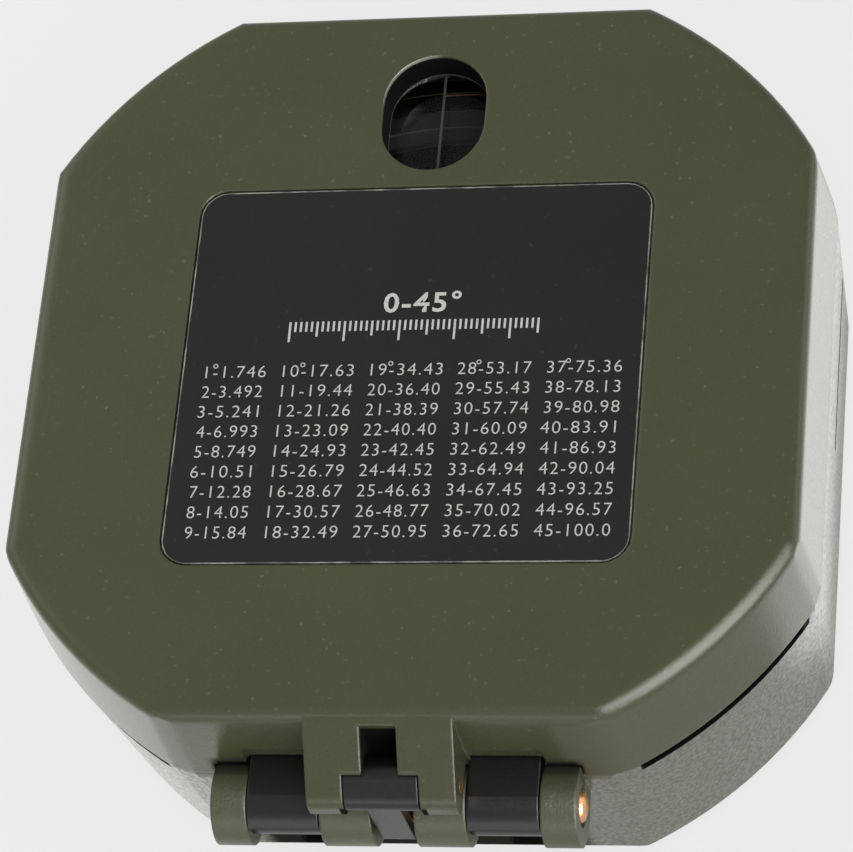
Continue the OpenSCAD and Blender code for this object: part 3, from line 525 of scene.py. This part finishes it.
# %% Base paint
COAT_FRONT = -35.6
RIM_LIGHT_TONE = (0.42, 0.29, 0.22)

# black paint in the bowl, painted shade in the pockets, gaps, grooves and seam
black_and_painted_shade = most(painted_pocket_shade, in_bowl, painted_gap_shade + in_groove, painted_seam_shade)
shade = blacken(base_paint, black_and_painted_shade, shade, rough)
# painted highlight: the warm line on the bowl's rim
shade = base_paint.mix(painted_rim_light, shade, RIM_LIGHT_TONE)
grain = base_paint.ramp(base_paint.noise(0.36, 2), [(0.38, 0), (0.62, 1)])
coat = (0.2 + 0.8 * grain) * (y > COAT_FRONT * MM) * (1 - black_and_painted_shade)
base_paint.set({"Base Color": shade, "Coat Weight": coat, "Coat Roughness": 0.35})
dress(base_paint.material, "base_case")
print("painted the base with", len(base_paint.tree.nodes), "nodes")

# %% [markdown]
# ## Black sights and rings
# The folding sights, the bezel and the mirror's ring are satin black, slightly paler where edges rub.
# One function makes them all, since only the tone and the gloss differ.

# %% Satin black
RUBBED_BLACK = (0.09, 0.09, 0.095)


def satin_black(name, tone, rough):
    paint = Finish(name, Specular_IOR_Level=0.4)
    fine = paint.noise(0.35, 3)
    cloud = paint.noise(5, 2)
    shade = paint.mix(cloud, [0.75 * c for c in tone], [1.3 * c for c in tone])
    shade = paint.mix(paint.edges(0.2) * 0.45, shade, RUBBED_BLACK)
    paint.set({"Base Color": shade, "Roughness": rough + 0.14 * (fine - 0.5),
               "Normal": paint.bump(fine, 0.010, 1.0, paint.rounded(0.2))})
    return paint.material


black = satin_black("satin_black", (0.006, 0.006, 0.0065), 0.34)
dress(black, "sight_arm", "peep_tip", "front_sight", "mirror_ring")
dress(satin_black("bezel_black", (0.005, 0.005, 0.005), 0.55), "bezel")
print("black pieces done")

# %% [markdown]
# ## The number plate
# A thin plate of black metal lies in a shallow recess of the lid. Its cut rim is worn to bare metal
# in a broken pale line. A line drawn by hand would have to follow the corners, so the rim is found by
# the distance to the edge of a rounded rectangle, which noise then frays.

# %% Number plate
PLATE_CORNER = 2.4 * MM
RIM_WIDTH, RIM_FRAY = 0.055 * MM, 0.10 * MM
PLATE_DARK, PLATE_PALE = (0.009, 0.009, 0.009), (0.017, 0.017, 0.016)
DUST_TONE, BARE_METAL = (0.2, 0.2, 0.19), (0.46, 0.46, 0.42)

plate_low, plate_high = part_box("label_plate")
plate_mid = (Vector(plate_low) + Vector(plate_high)) / 2
plate_half = (Vector(plate_high) - Vector(plate_low)) / 2
plate = Finish("black_plate", Specular_IOR_Level=0.3)
x, y = plate.parts(plate.place())[:2]
away_x = most(abs(x - plate_mid.x) - (plate_half.x - PLATE_CORNER), 0.0)
away_y = most(abs(y - plate_mid.y) - (plate_half.y - PLATE_CORNER), 0.0)
inset = PLATE_CORNER - distance(away_x, away_y)
frayed = inset - RIM_FRAY * plate.noise(0.8, 3)
rim = (frayed < RIM_WIDTH) * plate.ramp(plate.noise(3.0, 3), [(0.38, 0.25), (0.55, 1)])
fine = plate.noise(0.35, 3)
dust = plate.ramp(plate.noise(0.6, 2), [(0.70, 0), (0.76, 1)])
shade = plate.mix(plate.noise(14, 2), PLATE_DARK, PLATE_PALE)
shade = plate.mix(dust * 0.12, shade, DUST_TONE)
shade = plate.mix(rim, shade, BARE_METAL)
plate.set({"Base Color": shade, "Roughness": 0.36 + 0.12 * (fine - 0.5), "Metallic": rim * 0.4,
           "Normal": plate.bump(fine, 0.006)})
dress(plate.material, "label_plate")
print("plate", [round(2000 * side, 1) for side in plate_half[:2]], "mm")

# %% [markdown]
# ## Printing figures
# Print is a film of white paint, far too thin to be a solid. Text objects make the figures, because
# they carry the font's outlines, and each is flattened into one mesh that lies just above the surface
# and rides on its body.

# %% Printing tools
FILM = 0.015 * MM
FIGURE_SHARE = 0.70  # a figure's height as a share of the font's size
LETTER_SPACE = 1.12
WHITE_PRINT = Finish("white_print", Roughness=0.55)
wear = WHITE_PRINT.noise(0.5, 3)
WHITE_PRINT.set({"Base Color": WHITE_PRINT.mix(wear, (0.52, 0.52, 0.50), (0.82, 0.82, 0.79))})


def add_figures(gathered, text, height, place, turn=0.0, weight=0.0, width=None):
    """Add centred figures to a mesh; sizes are in millimetres, and width fits them to a line."""
    curve = bpy.data.curves.new("figures", "FONT")
    curve.body = text
    curve.size = height * MM / FIGURE_SHARE
    curve.resolution_u = 3
    curve.offset = weight * MM
    curve.space_character = LETTER_SPACE
    curve.align_x = "CENTER"
    curve.align_y = "CENTER"
    holder = bpy.data.objects.new("figures", curve)
    mesh = bpy.data.meshes.new_from_object(holder)
    xs = [vertex.co.x for vertex in mesh.vertices]
    stretch = width * MM / (max(xs) - min(xs)) if width else 1.0
    fit = Matrix.Rotation(turn, 4, "Z") @ Matrix.Diagonal((stretch, 1, 1, 1))
    mesh.transform(Matrix.Translation(place) @ fit)
    gathered.from_mesh(mesh)
    bpy.data.objects.remove(holder)
    bpy.data.curves.remove(curve)
    bpy.data.meshes.remove(mesh)


def new_piece(name, gathered, material, body):
    """Turn gathered faces into a piece that rides on a body."""
    mesh = bpy.data.meshes.new(name)
    gathered.to_mesh(mesh)
    gathered.free()
    mesh.materials.append(material)
    piece = bpy.data.objects.new(name, mesh)
    bpy.context.scene.collection.objects.link(piece)
    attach(piece, body)
    print(name, len(mesh.polygons), "faces on", body)


print("printing tools ready")

# %% [markdown]
# ## Figures on the plate
# The plate carries a table of plain figures in five columns: a degree and its slope in per cent, worked
# out here. Each line is fitted to its column's width, as on the real plate, where the columns align.

# %% Figures on the plate
COLUMNS = ((-18.6, -13.1), (-11.5, -5.1), (-3.55, 2.9), (4.35, 10.9), (12.3, 18.9))  # millimetres
ROWS, FIRST_ROW_Y, ROW_STEP = 9, -1.98, 1.965
FIGURE_HEIGHT, FIGURE_WEIGHT = 1.2, -0.018
DEGREE_Y, AFTER_ONE_FIGURE, AFTER_TWO_FIGURES = -1.82, 1.0, 1.85
HEADING_PLACE, HEADING_HEIGHT, HEADING_WEIGHT, HEADING_WIDTH = (0.67, 4.63), 1.9, 0.05, 7.0


def slope_figure(degree):
    slope = 100 * tan(radians(degree))
    decimals = 3 if slope < 9.9995 else 2 if slope < 99.995 else 1
    return f"{slope:.{decimals}f}"


table = bmesh.new()
plate_face = plate_high[2] + FILM
for column, (left, right) in enumerate(COLUMNS):
    for row in range(ROWS):
        degree = ROWS * column + row + 1
        place = (0.5 * (left + right) * MM, (FIRST_ROW_Y - ROW_STEP * row) * MM, plate_face)
        add_figures(table, f"{degree}-{slope_figure(degree)}", FIGURE_HEIGHT, place,
                    weight=FIGURE_WEIGHT, width=right - left)
    degree_x = left + (AFTER_ONE_FIGURE if column == 0 else AFTER_TWO_FIGURES)
    add_figures(table, "°", FIGURE_HEIGHT, (degree_x * MM, DEGREE_Y * MM, plate_face))
add_figures(table, "0-45°", HEADING_HEIGHT, (HEADING_PLACE[0] * MM, HEADING_PLACE[1] * MM, plate_face),
            weight=HEADING_WEIGHT, width=HEADING_WIDTH)
new_piece("plate_figures", table, WHITE_PRINT.material, "lid_body")

# %% [markdown]
# ## Graduations
# Scales are ticks that repeat: one Geometry Nodes tree sets out short bars along a line or round a
# circle, with every fifth and tenth one longer. Its inputs are the count, the sizes and the sweep, so
# one tree serves the plate, the degree ring and the clinometer.

# %% A tree for graduations
def graduation_tree():
    tree = bpy.data.node_groups.new("graduations", "GeometryNodeTree")
    face = tree.interface
    face.new_socket("Geometry", in_out="OUTPUT", socket_type="NodeSocketGeometry")
    for name, kind in (("Ticks", "Int"), ("Radius", "Float"), ("Start", "Float"), ("Sweep", "Float"),
                       ("Short tick", "Float"), ("Middle tick", "Float"), ("Long tick", "Float"),
                       ("Tick width", "Float"), ("Height", "Float"), ("Paint", "Material")):
        face.new_socket(name, in_out="INPUT", socket_type="NodeSocket" + kind)
    made = tree.nodes
    given = made.new("NodeGroupInput").outputs

    def node(kind, sockets, settings=None):
        new = made.new(kind)
        for key, value in (settings or {}).items():
            setattr(new, key, value)
        for key, value in sockets.items():
            if isinstance(value, bpy.types.NodeSocket):
                tree.links.new(value, new.inputs[key])
            else:
                new.inputs[key].default_value = value
        return new.outputs[0]

    def maths(operation, first, second=0.0):
        return node("ShaderNodeMath", {0: first, 1: second}, {"operation": operation})

    def longer(step, size, otherwise):
        on_step = maths("LESS_THAN", maths("MODULO", index, step), 0.5)
        return node("GeometryNodeSwitch", {"Switch": on_step, "False": otherwise, "True": size},
                    {"input_type": "FLOAT"})

    index = node("GeometryNodeInputIndex", {})
    angle = maths("ADD", given["Start"], maths("MULTIPLY", index, given["Sweep"]))
    across = maths("MULTIPLY", given["Radius"], maths("COSINE", angle))
    along = maths("MULTIPLY", given["Radius"], maths("SINE", angle))
    spot = node("ShaderNodeCombineXYZ", {"X": across, "Y": along, "Z": given["Height"]})
    points = node("GeometryNodePoints", {"Count": given["Ticks"], "Position": spot})
    bar = node("GeometryNodeMeshGrid", {"Size X": 1.0, "Size Y": 1.0, "Vertices X": 2, "Vertices Y": 2})
    bar = node("GeometryNodeTransform", {"Geometry": bar, "Translation": (-0.5, 0.0, 0.0)})
    length = longer(10.0, given["Long tick"], longer(5.0, given["Middle tick"], given["Short tick"]))
    size = node("ShaderNodeCombineXYZ", {"X": length, "Y": given["Tick width"], "Z": 1.0})
    turn = node("ShaderNodeCombineXYZ", {"Z": angle})
    ticks = node("GeometryNodeInstanceOnPoints",
                 {"Points": points, "Instance": bar, "Rotation": turn, "Scale": size})
    ticks = node("GeometryNodeRealizeInstances", {"Geometry": ticks})
    ticks = node("GeometryNodeSetMaterial", {"Geometry": ticks, "Material": given["Paint"]})
    tree.links.new(ticks, made.new("NodeGroupOutput").inputs[0])
    return tree


GRADUATIONS = graduation_tree()
print("graduation tree with", len(GRADUATIONS.nodes), "nodes")

# %% [markdown]
# ## The plate's scale
# A short straight scale stands above the table. A tree for straight scales isn't needed: a short
# stretch of a very large circle is straight enough. The modifier's inputs are set by their identifiers,
# the result becomes a plain mesh, and the modifier goes, so that the piece exports as it is.

# %% Straight scale
SCALE_R, SCALE_Y = 4.0, 3.0 * MM  # metres
SCALE_LENGTH, SCALE_PARTS = 22.4 * MM, 45
SCALE_STEP = SCALE_LENGTH / SCALE_PARTS / SCALE_R


def graduations(name, body, slot, shift=(0, 0, 0), **sizes):
    """Make ticks, turn them into a plain mesh, shift it and let it ride."""
    piece = bpy.data.objects.new(name, bpy.data.meshes.new(name))
    bpy.context.scene.collection.objects.link(piece)
    modifier = piece.modifiers.new("graduations", "NODES")
    modifier.node_group = GRADUATIONS
    inputs = [item for item in GRADUATIONS.interface.items_tree if item.in_out == "INPUT"]
    sockets = {item.name: item.identifier for item in inputs}
    for key, value in sizes.items():
        modifier[sockets[key.replace("_", " ")]] = value
    made = piece.evaluated_get(bpy.context.evaluated_depsgraph_get())
    mesh = bpy.data.meshes.new_from_object(made)
    piece.modifiers.clear()
    mesh.transform(Matrix.Translation(shift))
    piece.data = mesh
    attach(piece, body)
    print(name, len(mesh.polygons), "ticks on", body)


graduations("plate_scale", "lid_body", "white_scale", shift=(0, SCALE_Y - SCALE_R, 0),
            Ticks=SCALE_PARTS + 1, Radius=SCALE_R, Start=pi / 2 + SCALE_PARTS / 2 * SCALE_STEP,
            Sweep=-SCALE_STEP, Short_tick=1.0 * MM, Middle_tick=1.5 * MM, Long_tick=2.0 * MM,
            Tick_width=0.2 * MM, Height=plate_face, Paint=WHITE_PRINT.material)

# %% [markdown]
# ## Copper, brass and steel
# The hinge pins are copper coloured with a bright turned end, the small fittings inside are brass, and
# the screws and the post are steel. Fine scratches vary the gloss, and a soft cloud dulls the metal.
# One function serves all three, since they differ in tone and polish only.

# %% Metals
def metal(name, tone, dull, rough):
    finish = Finish(name, Metallic=1.0)
    scratch = finish.noise(0.25, 4, 0.7)
    cloud = finish.ramp(finish.noise(2.5, 3), [(0.35, 0), (0.70, 1)])
    finish.set({"Base Color": finish.mix(cloud, tone, dull), "Roughness": rough + 0.22 * (scratch - 0.5),
                "Normal": finish.bump(scratch, 0.006, 1.0, finish.rounded(0.12))})
    return finish.material


copper = metal("copper_pin", (0.78, 0.40, 0.18), (0.52, 0.25, 0.12), 0.30)
brass = metal("brass", (0.72, 0.53, 0.22), (0.50, 0.36, 0.15), 0.32)
steel = metal("steel", (0.55, 0.54, 0.52), (0.38, 0.37, 0.36), 0.34)
dress(copper, "sight_pin", "lid_pin", "peep_pin", "front_sight_pin")
dress(brass, "clinometer_bush", "lifter_post", "lock_plunger", "lifter_lever", "level_bracket",
      "vial_holder", "vial_caps", "round_level_cup", "needle_cap", "needle_weight")
dress(steel, "adjuster_screw", "clinometer_lever", "clinometer_spindle", "pivot_post")
print("metals done")

# %% [markdown]
# ## Glass
# Clear panes mostly let light through and mirror a little more at a slant. That is written as a bright
# surface whose opacity follows the Fresnel rule, which also survives an export. The level glasses hold
# a yellow green spirit. The photograph's window has a faint glare at its upper left. It is kept as a
# painted reflection in the pane's opacity, which the crystal under the window shares.

# %% Glass
GLARE_X, GLARE_Y, GLARE_RISE = -4.77, 23.3, 0.934  # where the glare's low edge runs, in millimetres
GLARE_SIDE, GLARE_LOW, GLARE_TOP = (-1.2, -3.4), (0.0, 1.2), (27.2, 26.6)
GLARE_SHARE = 0.05


def clear_pane(name, film):
    pane = Finish(name, Base_Color=(0.93, 0.96, 0.95), Metallic=1.0)
    slant = pane.node("ShaderNodeFresnel", {}, {"IOR": 1.2})
    smear = pane.ramp(pane.noise(6, 3), [(0.45, 0), (0.75, 1)])
    x, y = pane.parts(pane.place())[:2]
    low_edge = y - GLARE_Y * MM - GLARE_RISE * (x - GLARE_X * MM)
    # painted reflection: the glare brightens the pane at its upper left
    painted_glare = GLARE_SHARE * fade(x, *GLARE_SIDE) * fade(low_edge, *GLARE_LOW) * fade(y, *GLARE_TOP)
    pane.set({"Alpha": slant + film * (0.4 + smear) + painted_glare, "Roughness": 0.02 + 0.08 * smear})
    return pane.material


def spirit_glass(name):
    glass = Finish(name, Roughness=0.04)
    slant = glass.node("ShaderNodeFresnel", {}, {"IOR": 1.4})
    tint = glass.mix(glass.noise(3, 2), (0.48, 0.62, 0.10), (0.60, 0.72, 0.18))
    glass.set({"Base Color": tint, "Alpha": 0.50 + 0.5 * slant})
    return glass.material


dress(clear_pane("crystal_glass", 0.004), "crystal")
dress(clear_pane("window_pane", 0.002), "window_glass")
dress(spirit_glass("level_spirit"), "vial", "round_level_glass")
print("glass done")

# %% [markdown]
# ## Mirror and gasket
# The mirror is silvered below and painted grey on its back and edge. It is one piece of glass, so its
# height tells the silver from the paint. The ring under the crystal is dull black rubber.

# %% Mirror and gasket
SILVER_DEPTH = 0.1 * MM

mirror_low, mirror_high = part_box("lid_mirror")
mirror = Finish("lid_mirror_silver")
height = mirror.parts(mirror.place())[2]
silver = height < mirror_low[2] + SILVER_DEPTH
haze = mirror.noise(9, 3)
back = mirror.mix(mirror.noise(1.0, 3), (0.03, 0.03, 0.032), (0.06, 0.06, 0.062))
mirror.set({"Base Color": mirror.mix(silver, back, (0.86, 0.88, 0.88)), "Metallic": silver,
            "Roughness": 0.5 - 0.47 * silver + 0.03 * haze})
dress(mirror.material, "lid_mirror")
rubber = Finish("gasket_rubber")
rough_rubber = rubber.noise(0.4, 3)
rubber.set({"Base Color": rubber.mix(rough_rubber, (0.010, 0.010, 0.010), (0.022, 0.022, 0.021)),
            "Roughness": 0.70 + 0.2 * (rough_rubber - 0.5)})
dress(rubber.material, "crystal_gasket")
print("mirror", round((mirror_high[0] - mirror_low[0]) / MM, 1), "mm wide, and gasket done")

# %% [markdown]
# ## Sight lines
# A hair line runs across the window and another down the mirror, for aiming. They are as thin as
# print, so each is a flat strip that lies on the glass.

# %% Sight lines
HAIR_HALF = 0.12  # half of a line's width, in millimetres
WINDOW_REACH, WINDOW_CLEAR, MIRROR_START = 5.9, 6.9, -30.5


def add_strip(gathered, low, high, height, downward=False):
    """A flat strip between two corners, in millimetres."""
    corners = [(low[0], low[1]), (high[0], low[1]), (high[0], high[1]), (low[0], high[1])]
    if downward:
        corners.reverse()
    gathered.faces.new([gathered.verts.new((x * MM, y * MM, height)) for x, y in corners])


line_paint = Finish("sight_line_paint", Roughness=0.6)
line_tone = line_paint.mix(line_paint.noise(0.4, 3), (0.030, 0.030, 0.032), (0.055, 0.055, 0.058))
line_paint.set({"Base Color": line_tone})

pane_low, pane_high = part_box("window_glass")
window_y = 500 * (pane_low[1] + pane_high[1])  # the middle, in millimetres
hair = bmesh.new()
add_strip(hair, (-HAIR_HALF, window_y - WINDOW_REACH), (HAIR_HALF, window_y + WINDOW_REACH),
          pane_high[2] + FILM)
new_piece("window_hair_line", hair, line_paint.material, "lid_body")
mirror_line = bmesh.new()
add_strip(mirror_line, (-HAIR_HALF, MIRROR_START), (HAIR_HALF, window_y - WINDOW_CLEAR),
          mirror_low[2] - FILM, True)
new_piece("mirror_line", mirror_line, line_paint.material, "lid_body")

# %% [markdown]
# ## Degree ring
# The ring round the needle is black with white ticks and a figure every ten degrees, which turn with
# it. The ticks come from the graduation tree, and the figures are set round the circle one by one.

# %% Degree ring
RING_TICK_R, RING_FIGURE_R, RING_FIGURE_HEIGHT = 27.3 * MM, 24.85 * MM, 1.05

ring_paint = satin_black("ring_black", (0.016, 0.016, 0.017), 0.45)
dress(ring_paint, "azimuth_ring")
ring_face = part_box("azimuth_ring")[1][2] + FILM
graduations("ring_ticks", "degree_ring", "white_scale", Ticks=360, Radius=RING_TICK_R, Start=0.0,
            Sweep=2 * pi / 360, Short_tick=0.7 * MM, Middle_tick=1.1 * MM, Long_tick=1.5 * MM,
            Tick_width=0.12 * MM, Height=ring_face, Paint=WHITE_PRINT.material)
ring_figures = bmesh.new()
for degree in range(0, 360, 10):
    turn = radians(degree)
    place = (-RING_FIGURE_R * sin(turn), RING_FIGURE_R * cos(turn), ring_face)
    add_figures(ring_figures, str(degree), RING_FIGURE_HEIGHT, place, turn)
new_piece("ring_figures", ring_figures, WHITE_PRINT.material, "degree_ring")

# %% [markdown]
# ## Clinometer scale
# The pale plate on the bowl's floor carries a black half circle of degrees, for reading slopes with the
# tube level. It stays with the base while the level turns over it, so its print rides on the base.

# %% Clinometer scale
CARD_TICK_R, CARD_FIGURE_R, CARD_FIGURE_HEIGHT = 24.2 * MM, 25.5 * MM, 1.1

card = Finish("white_card", Roughness=0.6)
tint = card.noise(7, 3)
card.set({"Base Color": card.mix(tint, (0.62, 0.61, 0.56), (0.74, 0.73, 0.68)),
          "Normal": card.bump(card.noise(0.3, 2), 0.004)})
dress(card.material, "scale_plate")
card_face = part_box("scale_plate")[1][2] + FILM
graduations("clinometer_ticks", "base", "black_paint", Ticks=181, Radius=CARD_TICK_R, Start=pi,
            Sweep=pi / 180, Short_tick=0.7 * MM, Middle_tick=1.0 * MM, Long_tick=1.3 * MM,
            Tick_width=0.13 * MM, Height=card_face, Paint=line_paint.material)
card_figures = bmesh.new()
for degree in range(-90, 91, 10):
    turn = radians(degree)
    place = (CARD_FIGURE_R * sin(turn), -CARD_FIGURE_R * cos(turn), card_face)
    add_figures(card_figures, str(abs(degree)), CARD_FIGURE_HEIGHT, place, turn)
new_piece("clinometer_figures", card_figures, line_paint.material, "base")

# %% [markdown]
# ## Needle
# The needle is enamelled white to the north and black to the south. It is one piece, and the sign of
# its own lengthwise coordinate tells the halves apart, also after it has turned.

# %% Needle
needle = Finish("needle_enamel", Roughness=0.35)
north = needle.parts(needle.place())[1] > 0.0
chips = needle.noise(0.8, 3)
pale = needle.mix(chips, (0.66, 0.66, 0.62), (0.78, 0.78, 0.74))
dark = needle.mix(chips, (0.010, 0.010, 0.011), (0.022, 0.022, 0.023))
needle.set({"Base Color": needle.mix(north, dark, pale), "Normal": needle.bump(chips, 0.003)})
dress(needle.material, "needle")
print("needle done")

# %% [markdown]
# ## Bubbles
# Each level holds a bubble below the top of its glass. A bubble is a squashed ball, flatter on top
# where it presses on the glass, which a plain sphere with its crown pushed down shows well enough.

# %% Bubbles
CROWN, CROWN_GIVE = 0.8, 0.25
TUBE_BUBBLE, TUBE_BUBBLE_UP = (3.4 * MM, 1.2 * MM, 0.85 * MM), 0.9 * MM
ROUND_BUBBLE, ROUND_BUBBLE_DOWN = (1.3 * MM, 1.3 * MM, 0.6 * MM), 0.75 * MM


def add_bubble(gathered, centre, size):
    """A ball squashed to three half sizes, in metres, with a flattened crown."""
    made = bmesh.ops.create_uvsphere(gathered, u_segments=24, v_segments=12, radius=1.0)["verts"]
    for vertex in made:
        vertex.co.z = min(vertex.co.z, CROWN + CROWN_GIVE * (vertex.co.z - CROWN))
        vertex.co = Vector(centre) + Vector([part * side for part, side in zip(vertex.co, size)])


air = Finish("air_bubble", Roughness=0.12)
shimmer = air.noise(1.2, 2)
air.set({"Base Color": air.mix(shimmer, (0.72, 0.80, 0.45), (0.86, 0.90, 0.66))})
vial_low, vial_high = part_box("vial")
vial_mid = (Vector(vial_low) + Vector(vial_high)) / 2
cup_low, cup_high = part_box("round_level_glass")
cup_mid = (Vector(cup_low) + Vector(cup_high)) / 2
bubbles = bmesh.new()
add_bubble(bubbles, vial_mid + Vector((0, 0, TUBE_BUBBLE_UP)), TUBE_BUBBLE)
add_bubble(bubbles, (cup_mid.x, cup_mid.y, cup_high[2] - ROUND_BUBBLE_DOWN), ROUND_BUBBLE)
new_piece("level_bubbles", bubbles, air.material, "clinometer")

# %% [markdown]
# ## Level marks
# Two rings on the tube and one on the round glass show where the bubbles should stand. They are thin
# bands of faces that lie just off the glass, made from two rings of points each.

# %% Level marks
MARK_X, MARK_HALF = 3.8 * MM, 0.12 * MM
CIRCLE_IN, CIRCLE_OUT = 1.7 * MM, 1.95 * MM
STEPS = 48


def add_band(gathered, points_in, points_out):
    """A closed band of faces between two rings of points."""
    inner = [gathered.verts.new(point) for point in points_in]
    outer = [gathered.verts.new(point) for point in points_out]
    for k in range(len(inner)):
        n = (k + 1) % len(inner)
        gathered.faces.new((inner[k], outer[k], outer[n], inner[n]))


marks = bmesh.new()
turns = [2 * pi * k / STEPS for k in range(STEPS)]
vial_r = 0.5 * (vial_high[2] - vial_low[2])
hoop = [Vector((0, cos(a), sin(a))) * (vial_r + FILM) for a in turns]
for x in (-MARK_X, MARK_X):
    add_band(marks, [vial_mid + p + Vector((x + MARK_HALF, 0, 0)) for p in hoop],
             [vial_mid + p + Vector((x - MARK_HALF, 0, 0)) for p in hoop])
circle = [Vector((cos(a), sin(a), 0)) for a in turns]
top = Vector((cup_mid.x, cup_mid.y, cup_high[2] + FILM))
add_band(marks, [top + CIRCLE_IN * p for p in circle], [top + CIRCLE_OUT * p for p in circle])
bmesh.ops.recalc_face_normals(marks, faces=marks.faces)
new_piece("level_marks", marks, line_paint.material, "clinometer")
